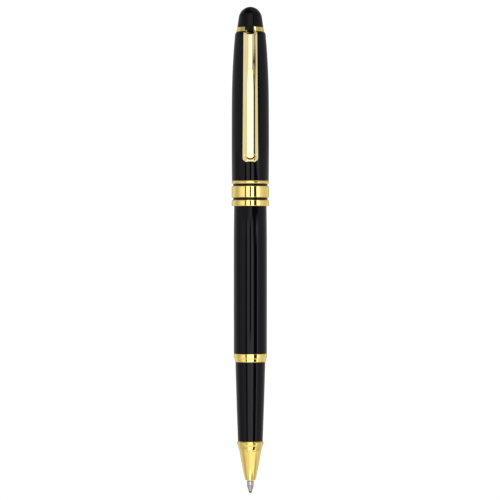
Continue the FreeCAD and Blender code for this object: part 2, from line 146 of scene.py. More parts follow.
def smooth_outline(steps, closed, rounding):
    """Points and tangents of an outline whose corners are rounded.

    A step is a point, or a pair of points for an arc through the first.
    """
    here = steps[0]
    runs = []
    for step in steps[1:] + (steps[:1] if closed else []):
        if isinstance(step[0], tuple):
            runs.append(arc_run(here, step[0], step[1]))
            here = step[1]
        else:
            runs.append(line_run(here, step))
            here = step
    count = len(runs)
    cuts = [[0.0, 0.0] for _ in runs]
    joins = range(count) if closed else range(count - 1)
    rounded = set()
    for i in joins:
        after = (i + 1) % count
        turn = math.acos(np.clip(runs[i][-1][1] @ runs[after][0][1], -1, 1))
        if turn > SMOOTH_JOIN:
            shorter = min(run_length(runs[i]), run_length(runs[after]))
            reach = min(rounding, ROUNDING_SHARE * shorter)
            cuts[i][1] = reach
            cuts[after][0] = reach
            rounded.add(i)
    trimmed = [run_between(run, *cut) for run, cut in zip(runs, cuts)]
    outline = []
    for i in range(count):
        outline += trimmed[i]
        if i in rounded:
            corner = runs[i][-1][0]
            start = trimmed[i][-1][0]
            end = trimmed[(i + 1) % count][0][0]
            for u in (0.17, 0.33, 0.5, 0.67, 0.83):
                p = (1 - u) ** 2 * start + 2 * u * (1 - u) * corner + u * u * end
                t = (1 - u) * (corner - start) + u * (end - corner)
                outline.append((p, t / np.linalg.norm(t)))
        elif closed or i < count - 1:
            outline.pop()
    return outline


def lathe(name, steps, closed=True, rounding=0.06, segments=LATHE_SEGMENTS):
    """A turned mesh about the pen's axis, with exact normals. Steps are in millimetres."""
    outline = smooth_outline(list(steps), closed, rounding)
    around = [2 * math.pi * k / segments for k in range(segments)]
    vertices, normals, rings = [], [], []
    for (r, z), (tr, tz) in outline:
        if r < 1e-4:
            rings.append([len(vertices)] * segments)
            vertices.append((0.0, 0.0, z * MM))
            normals.append((0.0, 0.0, -1.0 if tr > 0 else 1.0))
            continue
        rings.append(list(range(len(vertices), len(vertices) + segments)))
        for angle in around:
            c, s = math.cos(angle), math.sin(angle)
            vertices.append((r * c * MM, r * s * MM, z * MM))
            normals.append((tz * c, tz * s, -tr))
    pairs = list(zip(rings, rings[1:]))
    if closed:
        pairs.append((rings[-1], rings[0]))
    faces = []
    for low, high in pairs:
        for k in range(segments):
            n = (k + 1) % segments
            face = list(dict.fromkeys([low[k], low[n], high[n], high[k]]))
            if len(face) > 2:
                faces.append(face)
    return new_piece(name, vertices, faces, normals)


# ---------------------------------------------------------------- materials

class Graph:
    """A short way to write shader nodes."""

    def __init__(self, name):
        self.material = bpy.data.materials.new(name)
        self.material.use_nodes = True
        self.tree = self.material.node_tree
        self.tree.nodes.clear()
        self.out = self.tree.nodes.new("ShaderNodeOutputMaterial")
        self.bsdf = self.tree.nodes.new("ShaderNodeBsdfPrincipled")
        self.link(self.bsdf.outputs[0], self.out.inputs["Surface"])
        self.place = self.tree.nodes.new("ShaderNodeTexCoord").outputs["Object"]

    def link(self, a, b):
        self.tree.links.new(a, b)

    def node(self, kind, **inputs):
        made = self.tree.nodes.new(kind)
        for key, value in inputs.items():
            socket = made.inputs[key.replace("_", " ")]
            if hasattr(value, "is_output"):
                self.link(value, socket)
            else:
                socket.default_value = value
        return made

    def scaled(self, x, y, z, turn=(0.0, 0.0, 0.0)):
        return self.node(
            "ShaderNodeMapping", Vector=self.place, Scale=(x, y, z), Rotation=turn
        ).outputs[0]

    def noise(self, vector, scale, detail=3.0, roughness=0.5):
        made = self.node(
            "ShaderNodeTexNoise", Vector=vector, Scale=scale, Detail=detail, Roughness=roughness
        )
        return made.outputs["Fac"]

    def ranged(self, value, low, high, to_low, to_high, smooth=False):
        made = self.tree.nodes.new("ShaderNodeMapRange")
        made.interpolation_type = "SMOOTHSTEP" if smooth else "LINEAR"
        self.link(value, made.inputs["Value"])
        for key, number in zip(("From Min", "From Max", "To Min", "To Max"),
                               (low, high, to_low, to_high)):
            made.inputs[key].default_value = number
        return made.outputs["Result"]

    def window(self, value, rise, fall):
        """1 between rise and fall, which are the stretches it changes over, in millimetres."""
        opened = self.ranged(value, rise[0] * MM, rise[1] * MM, 0.0, 1.0)
        closed = self.ranged(value, fall[0] * MM, fall[1] * MM, 1.0, 0.0)
        return self.math("MULTIPLY", opened, closed)

    def math(self, kind, a, b=0.0):
        made = self.tree.nodes.new("ShaderNodeMath")
        made.operation = kind
        for socket, value in zip(made.inputs, (a, b)):
            if hasattr(value, "is_output"):
                self.link(value, socket)
            else:
                socket.default_value = value
        return made.outputs[0]

    def blend(self, share, a, b):
        made = self.tree.nodes.new("ShaderNodeMix")
        made.data_type = "RGBA"
        for index, value in ((0, share), (6, a), (7, b)):
            if hasattr(value, "is_output"):
                self.link(value, made.inputs[index])
            elif index == 0:
                made.inputs[index].default_value = value
            else:
                made.inputs[index].default_value = (*value, 1.0)
        return made.outputs[2]

    def bump(self, height, strength, distance):
        made = self.node("ShaderNodeBump", Height=height, Strength=strength, Distance=distance)
        self.link(made.outputs[0], self.bsdf.inputs["Normal"])

    def coordinates(self):
        return self.node("ShaderNodeSeparateXYZ", Vector=self.place).outputs

    def height(self):
        """Height along the pen, in metres."""
        return self.node("ShaderNodeSeparateXYZ", Vector=self.place).outputs["Z"]

    def hairlines(self, seed_turn):
        """Thin, sparse scratches that run mostly along the pen: 0 with a few lines near 1."""
        lines = self.noise(self.scaled(2600.0, 2600.0, 90.0, seed_turn), 1.0, 2.0)
        patches = self.noise(self.scaled(160.0, 160.0, 60.0), 1.0, 2.0)
        thin = self.ranged(lines, 0.66, 0.72, 0.0, 1.0, smooth=True)
        return self.math("MULTIPLY", thin, self.ranged(patches, 0.45, 0.65, 0.0, 1.0))


def metal(name, colour, other, rough, rough_more, turned=0.0, worn=None, inked=None, painted_shade=None):
    """Bright metal: cloudy tone, uneven polish, hairlines and turning marks.

    Below the height inked it carries a film of dried ink; the mask function given last sets the
    share of near-black painted shade laid into its recesses and creases.
    """
    g = Graph(name)
    g.bsdf.inputs["Metallic"].default_value = 1.0
    clouds = g.noise(g.scaled(180.0, 180.0, 70.0), 1.0, 4.0, 0.6)
    tone = g.blend(g.ranged(clouds, 0.35, 0.7, 0.0, 1.0, smooth=True), colour, other)
    if worn is not None:
        pointed = g.tree.nodes.new("ShaderNodeNewGeometry").outputs["Pointiness"]
        edge = g.ranged(pointed, 0.52, 0.62, 0.0, 0.7, smooth=True)
        tone = g.blend(edge, tone, worn)
    if inked is not None:
        ragged = g.math("ADD", g.height(), g.math("MULTIPLY", clouds, 0.0003))
        film = g.ranged(ragged, inked, inked + 0.0002, 1.0, 0.0, smooth=True)
        tone = g.blend(film, tone, (0.03, 0.03, 0.04))
    # painted shade: near-black colour laid over the metal where the mask says, standing in for
    # shadow in recesses and creases
    if painted_shade is not None:
        tone = g.blend(painted_shade(g), tone, (0.010, 0.008, 0.004))
    g.link(tone, g.bsdf.inputs["Base Color"])
    lines = g.hairlines((0.05, 0.03, 0.0))
    polish = g.ranged(g.noise(g.scaled(900.0, 900.0, 400.0), 1.0, 3.0), 0.3, 0.75, rough,
                      rough_more)
    g.link(g.math("ADD", polish, g.math("MULTIPLY", lines, 0.12)), g.bsdf.inputs["Roughness"])
    grain = g.noise(g.scaled(1500.0, 1500.0, 1500.0), 1.0, 2.0)
    height = g.math("ADD", g.math("MULTIPLY", grain, 0.25), g.math("MULTIPLY", lines, -0.5))
    if turned:
        rings = g.noise(g.scaled(40.0, 40.0, 14000.0), 1.0, 2.0)
        height = g.math("ADD", height, g.math("MULTIPLY", rings, turned))
    g.bump(height, 0.03, 0.00002)
    return g


def slot_painted_shade(g):
    """Painted shade on the walls of the collar's slot, where it opens into the dark inside, left
    off a bright strip on the right.
    """
    x, y, z = g.coordinates()
    deep = g.window(y, (-3.7, -3.5), (-2.4, -2.0))
    wide = g.window(x, (-1.9, -1.8), (1.1, 1.3))
    return g.math("MULTIPLY", deep, wide)


def clip_painted_shade(g):
    """Painted shade in the groove round the panel's lower end and in the dent at the root, fainter
    on the left, which faces the light.
    """
    x, y, z = g.coordinates()
    centre = (PANEL_END_Z + PANEL_HALF) * MM
    drop = g.math("MINIMUM", g.math("SUBTRACT", z, centre), 0.0)
    sideways = g.math("ABSOLUTE", x)
    squares = g.math("ADD", g.math("POWER", sideways, 2.0), g.math("POWER", drop, 2.0))
    outside = g.math("SUBTRACT", g.math("SQRT", squares), PANEL_HALF * MM)
    line = g.window(outside, (-0.02, 0.05), (0.22, 0.30))
    low = g.ranged(z, centre - 0.4 * MM, centre + 0.6 * MM, 1.0, 0.0)
    # the painted shade fades on the left side of the groove, which faces the bright side of the
    # tent
    thin_left = g.ranged(x, -1.2 * MM, -0.6 * MM, 0.12, 1.0)
    groove = g.math("MULTIPLY", g.math("MULTIPLY", line, low), thin_left)
    # painted shade in the dent where the clip's root tucks under the collar
    slant = g.math("ADD", z, g.math("MULTIPLY", x, 0.25))
    dent = g.math("MULTIPLY", g.ranged(slant, 146.65 * MM, 146.85 * MM, 0.0, 1.0),
                  g.ranged(sideways, 0.95 * MM, 1.15 * MM, 1.0, 0.0))
    return g.math("MAXIMUM", groove, dent)


def glossy_black(name, colour, other, rough, rough_more, specular, peel):
    """Lacquer or polished resin: deep black, a faint orange peel and handling hairlines."""
    g = Graph(name)
    clouds = g.noise(g.scaled(90.0, 90.0, 30.0), 1.0, 3.0)
    g.link(g.blend(clouds, colour, other), g.bsdf.inputs["Base Color"])
    g.bsdf.inputs["Specular IOR Level"].default_value = specular
    g.bsdf.inputs["Specular Tint"].default_value = (0.93, 0.95, 1.0, 1.0)
    lines = g.hairlines((0.02, 0.05, 0.0))
    polish = g.ranged(g.noise(g.scaled(500.0, 500.0, 240.0), 1.0, 3.0), 0.3, 0.75, rough,
                      rough_more)
    g.link(g.math("ADD", polish, g.math("MULTIPLY", lines, 0.10)), g.bsdf.inputs["Roughness"])
    waves = g.noise(g.scaled(420.0, 420.0, 160.0), 1.0, 1.0)
    g.bump(g.math("SUBTRACT", waves, g.math("MULTIPLY", lines, 0.05)), peel, 0.00001)
    return g


def moulded(name, colour, other, rough, rough_more, grain):
    """Plain moulded plastic or fibre: mottled colour, sanded mould texture."""
    g = Graph(name)
    clouds = g.noise(g.scaled(300.0, 300.0, 120.0), 1.0, 4.0, 0.6)
    g.link(g.blend(clouds, colour, other), g.bsdf.inputs["Base Color"])
    speckle = g.noise(g.scaled(4000.0, 4000.0, 4000.0), 1.0, 2.0)
    g.link(g.ranged(speckle, 0.3, 0.7, rough, rough_more), g.bsdf.inputs["Roughness"])
    g.bump(speckle, grain, 0.00003)
    return g


gold = metal("gold_plate", (0.90, 0.68, 0.20), (0.94, 0.72, 0.24), 0.02, 0.05,
             worn=(0.97, 0.83, 0.42)).material
# the clip's gold carries painted shade in its groove and root dent
pale_gold = metal("gold_plate_clip", (0.94, 0.80, 0.40), (0.96, 0.83, 0.46), 0.02, 0.05,
                  worn=(0.98, 0.88, 0.55), painted_shade=clip_painted_shade).material
collar_gold = metal("gold_plate_collar", (0.90, 0.68, 0.20), (0.94, 0.72, 0.24), 0.02, 0.05,
                    # the collar's gold carries painted shade on the walls of its slot
                    worn=(0.97, 0.83, 0.42), painted_shade=slot_painted_shade).material
brass = metal("turned_brass", (0.72, 0.53, 0.25), (0.62, 0.43, 0.18), 0.18, 0.30,
              turned=1.5).material
steel = metal("drawn_steel", (0.62, 0.62, 0.63), (0.52, 0.52, 0.54), 0.20, 0.32,
              turned=0.8).material
wire = metal("spring_wire", (0.55, 0.56, 0.58), (0.42, 0.42, 0.44), 0.22, 0.35).material
nickel = metal("nickel_silver", (0.50, 0.48, 0.45), (0.40, 0.38, 0.36), 0.08, 0.14,
               turned=1.2, inked=0.00065).material
carbide = metal("hard_ball", (0.05, 0.05, 0.06), (0.03, 0.03, 0.035), 0.12, 0.25).material
lacquer = glossy_black("black_lacquer", (0.0014, 0.0014, 0.0023), (0.0019, 0.0018, 0.0028),
                       0.015, 0.03, 0.165, 0.02).material
resin = glossy_black("black_resin", (0.0014, 0.0014, 0.0022), (0.0020, 0.0019, 0.0028),
                     0.02, 0.035, 0.165, 0.03).material
sleeve = glossy_black("black_sleeve", (0.004, 0.0025, 0.002), (0.006, 0.004, 0.003),
                      0.2, 0.3, 0.2, 0.2).material
liner = moulded("liner_plastic", (0.02, 0.02, 0.021), (0.03, 0.03, 0.031), 0.42, 0.6, 0.25).material
grey_plastic = moulded("refill_plastic", (0.07, 0.07, 0.078), (0.1, 0.1, 0.108), 0.38, 0.52,
                       0.2).material
fibre = moulded("ink_fibre", (0.012, 0.012, 0.02), (0.03, 0.03, 0.045), 0.75, 0.95, 0.8).material

MATERIAL_OF_SLOT = {
    "black_lacquer": lacquer,
    "black_resin": resin,
    "black_sleeve": sleeve,
    "gold_plate": gold,
    "brass": brass,
    "liner_plastic": liner,
    "refill_plastic": grey_plastic,
    "refill_metal": steel,
    "spring_steel": wire,
    "nickel_silver": nickel,
    "hard_metal": carbide,
    "ink_fibre": fibre,
}

for node, thing in frame["nodes"].items():
    own = collar_gold if node == "clip_collar" else MATERIAL_OF_SLOT[SLOT_OF[node]]
    thing.data.materials.clear()
    thing.data.materials.append(own)


# ---------------------------------------------------------------- turned pieces

CARRIER_R = 5.52        # sleeve under the gold bands, and bore of the cap tube
BAND_R = 6.01
BAND_CORNER = 0.14
MOUTH_BORE_R = 5.25
BARREL_R = 5.33
BARREL_BORE_R = 4.80
TAIL_BORE_R = 4.10
TAIL_R = 4.36
GRIP_BORE_R = 3.62
RING_R = 5.32
POINT_R = 1.10
POINT_GROOVE_R = 0.96
SHANK_R = 0.90
SHANK_TOP_Z = 9.4
BALL_R = 0.35


def dome(r, z, z_top):
    """Arc step from (r, z) up to the axis, on a sphere centred on the axis."""
    rise = z_top - z
    sphere_r = (r * r + rise * rise) / (2 * rise)
    middle_z = z_top - sphere_r + math.sqrt(sphere_r ** 2 - r * r / 4)
    return ((r / 2, middle_z), (0.0, z_top))


def extent(node):
    """Lowest and highest z of a CAD node, in millimetres."""
    bottom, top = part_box(node)
    return bottom.z / MM, top.z / MM


def finial():
    low, high = extent("cap_finial")
    steps = [
        (0.0, low + 3.0), (1.5, low + 3.0), (1.5, low), (4.10, low), (4.19, low + 0.12),
        (3.71, 152.3), ((3.14, 153.81), (2.0, 154.97)), dome(2.0, 154.97, high),
    ]
    dress(lathe("finial_dome", steps, closed=False), "cap_finial", resin)


def cap_body():
    low, high = extent("cap_tube")
    steps = [
        (CARRIER_R, low), (5.84, low), (5.93, low + 0.15), ((5.995, 113.0), (5.93, 126.7)),
        ((5.735, 134.4), (5.22, 143.3)), (4.97, 145.9), ((4.87, 146.85), (4.55, high)),
        (4.20, high), (4.20, 143.0), (4.66, 143.0), (5.30, 135.0), (CARRIER_R, 122.0),
    ]
    dress(lathe("cap_lacquered_tube", steps, rounding=0.1), "cap_tube", lacquer)


def bands():
    low, high = extent("band_upper_ring")
    bead = [
        (CARRIER_R, low), (5.80, low), ((6.005, (low + high) / 2), (5.86, high)),
        (CARRIER_R, high),
    ]
    dress(lathe("band_bead", bead, rounding=0.08), "band_upper_ring", gold)
    low, high = extent("band_wide_ring")
    wide = [
        (CARRIER_R, low), (BAND_R - BAND_CORNER, low), (BAND_R, low + BAND_CORNER),
        (BAND_R, high - BAND_CORNER), (BAND_R - BAND_CORNER, high), (CARRIER_R, high),
    ]
    dress(lathe("band_wide", wide, rounding=0.08), "band_wide_ring", gold)
    low, high = extent("band_mouth_ring")
    lip = low + 0.35
    mouth = [
        (MOUTH_BORE_R, low + 0.08), (MOUTH_BORE_R + 0.08, low), (BAND_R - BAND_CORNER, low),
        (BAND_R, low + BAND_CORNER), (BAND_R, high - BAND_CORNER), (BAND_R - BAND_CORNER, high),
        (CARRIER_R, high), (CARRIER_R, lip), (MOUTH_BORE_R, lip),
    ]
    dress(lathe("band_mouth", mouth, rounding=0.07), "band_mouth_ring", gold)
    low, high = extent("cap_mouth_sleeve")
    bore = MOUTH_BORE_R + 0.03
    lining = [(bore, low), (CARRIER_R, low), (CARRIER_R, high), (bore, high)]
    dress(lathe("mouth_sleeve", lining, rounding=0.03), "cap_mouth_sleeve", sleeve)


def barrel_body():
    low, high = extent("barrel_tube")
    steps = [
        (BARREL_BORE_R, low), (5.24, low), (5.31, low + 0.1), (BARREL_R, 60.0), (BARREL_R, 76.0),
        ((5.12, 97.0), (4.51, high - 0.35)), (TAIL_R, high), (TAIL_BORE_R, high),
        (TAIL_BORE_R, 108.0), (BARREL_BORE_R, 86.0),
    ]
    dress(lathe("barrel_lacquered_tube", steps, rounding=0.1), "barrel_tube", lacquer)
    low, high = extent("barrel_tail_plug")
    shoulder = 118.4
    steps = [
        (0.0, 117.0), (2.4, 117.0), (2.4, 113.2), (3.2, 113.2), (3.2, low), (TAIL_BORE_R, low),
        (TAIL_BORE_R, 118.0), (TAIL_R, 118.0), (TAIL_R, shoulder), dome(TAIL_R, shoulder, high),
    ]
    dress(lathe("tail_plug", steps, closed=False), "barrel_tail_plug", resin)


def front_section():
    low, high = extent("section_ring")
    steps = [
        (3.68, low), (4.76, low), ((4.93, 42.05), (4.99, 42.25)), (5.02, 43.0),
        (5.30, 43.22), (RING_R, 43.5), (RING_R, high - 0.1), (5.25, high), (3.68, high),
    ]
    dress(lathe("section_bead", steps, rounding=0.07), "section_ring", gold)
    low, high = extent("section_grip")
    steps = [
        (GRIP_BORE_R, low), (3.89, low), (3.99, low + 0.15), ((4.40, 28.6), (4.79, high - 0.1)),
        (4.68, high), (GRIP_BORE_R, high),
    ]
    dress(lathe("grip_sleeve", steps, rounding=0.06), "section_grip", resin)
    low, high = extent("nose_cone")
    steps = [
        (1.15, low), (1.53, low), (1.69, low + 0.17), ((2.70, 9.0), (3.50, 13.56)), (3.43, 13.63),
        (3.57, 13.73), ((3.77, 14.55), (4.10, 15.40)), ((4.24, 15.80), (4.25, 16.15)),
        (4.10, high), (3.45, high), (3.45, 15.2), (3.12, 15.2), (3.12, 14.4), (2.86, 13.6),
        (1.78, 7.5), (1.38, 7.5), (1.38, 5.2), (1.15, 5.0),
    ]
    dress(lathe("cone", steps, rounding=0.05), "nose_cone", gold)


def point():
    steps = [
        (0.0, 0.73), ((0.27, 0.62), (0.38, 0.35)), (0.34, 0.2), (0.45, 0.2), (0.68, 1.12),
        ((0.93, 1.76), (1.08, 2.4)), (POINT_R, 2.6), (POINT_R, 3.78), (POINT_GROOVE_R, 3.86),
        (POINT_GROOVE_R, 4.4), (POINT_R, 4.5), (POINT_R, 6.4), (SHANK_R, 6.6),
        (SHANK_R, SHANK_TOP_Z), (0.0, SHANK_TOP_Z),
    ]
    dress(lathe("point_cone", steps, closed=False, rounding=0.05), "refill_point", nickel)
    steps = [(0.0, 0.0), ((BALL_R, BALL_R), (0.0, 2 * BALL_R))]
    dress(lathe("writing_ball", steps, closed=False, segments=64), "refill_ball", carbide)


# ---------------------------------------------------------------- clip

CLIP_TIP_Z = 105.5
CLIP_TIP_HALF = 2.47        # half width above the round tip, at CLIP_TIP_WIDTH_Z
CLIP_TIP_WIDTH_Z = 107.8
CLIP_TIP_ROUND_Z = 107.5    # below this the sides round in
CLIP_TIP_ROUND = 1.45       # by this much at the end
CLIP_BEND_Z = 146.1         # above this the strip bends in towards the collar
CLIP_ROOT_Z = 146.7
CLIP_ROOT_HALF = 2.175
TONGUE_HALF = 1.6
TONGUE_TOP_Z = 147.98
CLIP_FLAT = (0.80, 0.35)    # half width of the flat middle, below the rib and beside it
CLIP_FOLD_R = (1.6, 3.0)    # radius between the flat and the bevels, likewise
CLIP_FOLD = math.radians(33)
CLIP_EDGE_R = 0.11
RIB_END_Z = 135.0
RIB_HALF = 0.62
RIB_STEP = 0.15
GROOVE_DEPTH = 0.62
GROOVE_REACH = 0.62         # how far outside the panel the groove ends
GROOVE_WALL = 0.50          # width of its outer wall
DENT_DEPTH = 0.5


def smooth_step(value, low, high):
    t = min(max((value - low) / (high - low), 0.0), 1.0)
    return t * t * (3 - 2 * t)


def clip_half_width(z):
    """Half the clip's width at a height, seen from the front."""
    if z > CLIP_ROOT_Z:
        return CLIP_ROOT_HALF - (CLIP_ROOT_HALF - TONGUE_HALF) * smooth_step(z, 147.1, 147.5)
    up = (z - CLIP_TIP_WIDTH_Z) / (CLIP_ROOT_Z - CLIP_TIP_WIDTH_Z)
    straight = CLIP_TIP_HALF + (CLIP_ROOT_HALF - CLIP_TIP_HALF) * up
    if z >= CLIP_TIP_ROUND_Z:
        return straight
    # a superellipse a little fuller than a quarter circle
    power = 2.4
    down = (CLIP_TIP_ROUND_Z - z) / (CLIP_TIP_ROUND_Z - CLIP_TIP_Z + 0.01)
    return straight - CLIP_TIP_ROUND * (1 - (1 - down ** power) ** (1 / power))


def clip_drop(x, z):
    """How far the folded section falls back from its flat middle. It flattens in the bend."""
    x = abs(x)
    ribbed = smooth_step(z, 128.0, 137.0)
    flat = CLIP_FLAT[0] + (CLIP_FLAT[1] - CLIP_FLAT[0]) * ribbed
    fold_r = CLIP_FOLD_R[0] + (CLIP_FOLD_R[1] - CLIP_FOLD_R[0]) * ribbed
    end = flat + fold_r * math.sin(CLIP_FOLD)
    if x < flat:
        drop = 0.0
    elif x < end:
        drop = fold_r - math.sqrt(fold_r ** 2 - (x - flat) ** 2)
    else:
        drop = fold_r * (1 - math.cos(CLIP_FOLD)) + (x - end) * math.tan(CLIP_FOLD)
    return drop * min(max(1 - (z - CLIP_BEND_Z) / 1.6, 0.0), 1.0)


def tab_distance(x, z, half, z_end):
    """Distance outside a strip with a half-round lower end; negative inside."""
    centre = z_end + half
    if z > centre:
        return abs(x) - half
    return math.hypot(x, z - centre) - half


def clip_raise(x, z):
    """Height of the rib, less the depth of the groove below the panel and of the root's dent."""
    root = smooth_step(z, 145.4, 146.2)
    rib = tab_distance(x, z, RIB_HALF, RIB_END_Z)
    height = RIB_STEP * (1 - root) * (1 - smooth_step(rib, -0.05, 0.10))
    panel = tab_distance(x, z, PANEL_HALF, PANEL_END_Z)
    below = smooth_step(PANEL_END_Z + PANEL_HALF - z, 0.0, 0.9)
    rising = min(max((GROOVE_REACH - panel) / GROOVE_WALL, 0.0), 1.0)
    height -= GROOVE_DEPTH * below * smooth_step(panel, -0.10, 0.10) * rising
    sunk = min(max((z - 146.3) / 0.7, 0.0), 1.0) * (1 - smooth_step(z, 147.5, 147.75))
    return height - DENT_DEPTH * sunk * (1 - smooth_step(abs(x), 0.95, 1.25))


def clip_columns(half):
    """Places across half the clip: closest together where the rib and the groove have edges."""
    inside = [0.0, 0.12, 0.24, 0.36, 0.48, 0.54, 0.58, 0.62, 0.66, 0.7, 0.75, 0.8]
    inside += [0.8 + 0.06 * k for k in range(1, 16)]
    scale = min(half, 2.0) / 2.0
    columns = [x * scale for x in inside]
    last = columns[-1]
    side = half - CLIP_EDGE_R
    shares = (0.1, 0.22, 0.35, 0.5, 0.65, 0.8, 0.9, 0.955, 1.0)
    return columns + [last + (side - last) * share for share in shares]


def clip_depth(y, z):
    """Depth of the strip behind its outer face: deep at the rolled tip, thin in the bend."""
    if z > CLIP_BEND_Z:
        return 0.6 - 0.33 * smooth_step(z, 146.9, 147.9)
    heights = [105.5, 105.9, 106.9, 108.9, 126.0, 137.0, 142.0, 145.7]
    inner_y = [-6.8, -6.35, -6.13, -6.72, -6.70, -6.27, -6.0, -5.75]
    return max(float(np.interp(z, heights, inner_y)) - y, 0.5) * 0.98


def clip_section(y, z):
    """The clip's section as (x, height over the outer face), round from the middle's left."""
    half = clip_half_width(z)
    face = [(x, clip_raise(x, z) - clip_drop(x, z)) for x in clip_columns(half)]
    side = face[-1][1]
    r = CLIP_EDGE_R
    rim = [(half - r + r * math.sin(a), side - r * (1 - math.cos(a)) - 0.03)
           for a in (0.5, 1.0, math.pi / 2)]
    depth = clip_depth(y, z)
    back = min(min(side * 0.55, 0.0) - depth, rim[-1][1] - 0.15)
    under = [(half - 0.02, back + 0.08), (half - 0.12, back)]
    under += [(half * s, -0.55 * clip_drop(half * s, z) - depth) for s in (0.85, 0.65, 0.45, 0.25)]
    right = face[1:] + rim + under
    return [(-x, n) for x, n in reversed(right)] + [face[0]] + right + [(0.0, -depth)]


def run_sampled(steps, spacing):
    """Points along an open outline of points and arcs, each run at its own spacing."""
    here = steps[0]
    out = [np.array(here, float)]
    for step, gap in zip(steps[1:], spacing):
        curved = isinstance(step[0], tuple)
        run = arc_run(here, step[0], step[1]) if curved else line_run(here, step)
        points = np.array([p for p, t in run])
        lengths = np.linalg.norm(np.diff(points, axis=0), axis=1)
        along = np.concatenate([[0.0], np.cumsum(lengths)])
        count = max(2, int(along[-1] / gap))
        for k in range(1, count + 1):
            s = along[-1] * k / count
            out.append(np.array([np.interp(s, along, points[:, j]) for j in (0, 1)]))
        here = step[1] if curved else step
    return np.array(out)


def clip():
    """Folded gold strip, from the rolled tip up and over into the collar's slot."""
    # outer face from the tip up, as (y, z), then over the bend and in along the tongue
    outer = run_sampled(
        [(-7.30, CLIP_TIP_Z), ((-7.86, 105.72), (-8.09, 106.3)), ((-8.07, 107.4), (-8.05, 109.0)),
         ((-7.70, 126.0), (-7.16, 137.0)), ((-6.87, 142.0), (-6.55, CLIP_BEND_Z)),
         ((-5.80, 147.38), (-4.35, TONGUE_TOP_Z)), (-3.0, TONGUE_TOP_Z)],
        (0.05, 0.045, 0.07, 0.12, 0.06, 0.2),
    )
    tangents = np.gradient(outer, axis=0)
    tangents /= np.linalg.norm(tangents, axis=1)[:, None]
    vertices, faces = [], []
    for (y, z), (ty, tz) in zip(outer, tangents):
        section = clip_section(y, z)
        loop = len(section)
        base = len(vertices)
        # the end of the tip is slightly hollow between its corners
        hollow = 0.18 * math.exp(-((z - CLIP_TIP_Z) / 0.5) ** 2)
        for x, n in section:
            lift = hollow * (1 - smooth_step(abs(x), 0.6, 1.5))
            vertices.append((x * MM, (y - n * tz) * MM, (z + n * ty + lift) * MM))
        if base:
            for k in range(loop):
                m = (k + 1) % loop
                faces.append([base - loop + k, base - loop + m, base + m, base + k])
    faces.append(list(reversed(range(loop))))
    faces.append(list(range(len(vertices) - loop, len(vertices))))
    piece = new_piece("pocket_clip", vertices, faces)
    piece.data.set_sharp_from_angle(angle=math.radians(48))
    dress(piece, "clip_arm", pale_gold)


# ---------------------------------------------------------------- spring

def spring():
    """Round-wire compression spring with closed end coils, as high as the CAD spring."""
    low, high = extent("refill_spring")
    wire_r = 0.2
    coil_r = 2.0
    turns = 6.0
    end_climb = 0.07    # share of the height that each closed end coil takes
    around = 14
    count = int(turns * 48)
    rise = high - low - 2 * wire_r
    vertices, faces = [], []
    for k in range(count + 1):
        turn = turns * k / count
        if turn < 1:
            climb = end_climb * turn
        elif turn > turns - 1:
            climb = 1 - end_climb * (turns - turn)
        else:
            climb = end_climb + (1 - 2 * end_climb) * (turn - 1) / (turns - 2)
        z = low + wire_r + rise * climb
        angle = 2 * math.pi * turn
        c, s = math.cos(angle), math.sin(angle)
        for j in range(around):
            b = 2 * math.pi * j / around
            r = coil_r + wire_r * math.cos(b)
            vertices.append((r * c * MM, r * s * MM, (z + wire_r * math.sin(b)) * MM))
        if k:
            base = k * around
            for j in range(around):
                m = (j + 1) % around
                faces.append([base - around + j, base - around + m, base + m, base + j])
    faces.append(list(range(around)))
    faces.append(list(reversed(range(count * around, (count + 1) * around))))
    piece = dress(new_piece("coil_spring", vertices, faces), "refill_spring", wire)
    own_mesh(piece)


finial()
cap_body()
bands()
barrel_body()
front_section()
point()
clip()
spring()


# ---------------------------------------------------------------- light tent

# Radiance round the tent as (azimuth in degrees, radiance). Azimuth is 0 towards the camera's
# side (-Y) and grows to the right (+X). Each row holds over a range of elevations.

# level with the camera, where the upright faces look: a bright softbox between two dark flags
AZIMUTH_LEVEL = [
    (-180, 0.45), (-152, 0.58), (-136, 0.85), (-118, 0.85), (-100, 0.62), (-86, 0.55),
    (-70, 0.80), (-50, 1.15), (-36, 1.1), (-33, 0.08), (-25, 0.08), (-22, 1.8), (-17, 2.3),
    (-4, 2.2), (8, 2.4), (20, 2.9), (22, 1.6), (24.5, 0.03), (46.5, 0.03), (48.5, 2.6),
    (52, 2.8), (56, 1.7), (59, 1.1), (76, 0.85), (98, 0.75), (122, 0.75), (136, 0.85),
    (152, 0.58), (180, 0.45),
]
# a degree higher the flags are narrower
AZIMUTH_LEVEL_HIGH = [
    (-180, 0.45), (-152, 0.58), (-136, 0.85), (-118, 0.85), (-100, 0.62), (-86, 0.55),
    (-70, 0.80), (-50, 1.15), (-35, 1.1), (-32, 0.10), (-26, 0.10), (-23, 1.8), (-18, 2.3),
    (-4, 2.2), (8, 2.4), (18, 2.9), (20, 1.6), (21.5, 0.03), (37.5, 0.03), (40, 2.2),
    (49, 2.9), (54, 1.9), (58, 1.1), (76, 0.85), (98, 0.75), (122, 0.75), (136, 0.85),
    (152, 0.58), (180, 0.45),
]
# where the clip's lower part looks
AZIMUTH_UPPER = [
    (-180, 0.45), (-110, 0.7), (-66, 0.82), (-40, 0.74), (-14, 0.85), (-10, 1.6), (0, 1.85),
    (10, 1.7), (14, 0.05), (50, 0.05), (58, 0.72), (70, 0.82), (100, 0.72), (140, 0.5),
    (180, 0.45),
]
# where the clip's ribbed part looks
AZIMUTH_RIB = [
    (-180, 0.5), (-110, 0.72), (-66, 0.85), (-40, 0.78), (-12, 0.82), (-7, 1.1), (-2, 1.9),
    (7, 1.9), (10, 0.8), (13, 0.6), (15, 0.2), (20, 0.2), (22, 0.72), (34, 0.75), (37, 0.12),
    (46, 0.12), (49, 0.72), (70, 0.82), (100, 0.72), (140, 0.5), (180, 0.5),
]
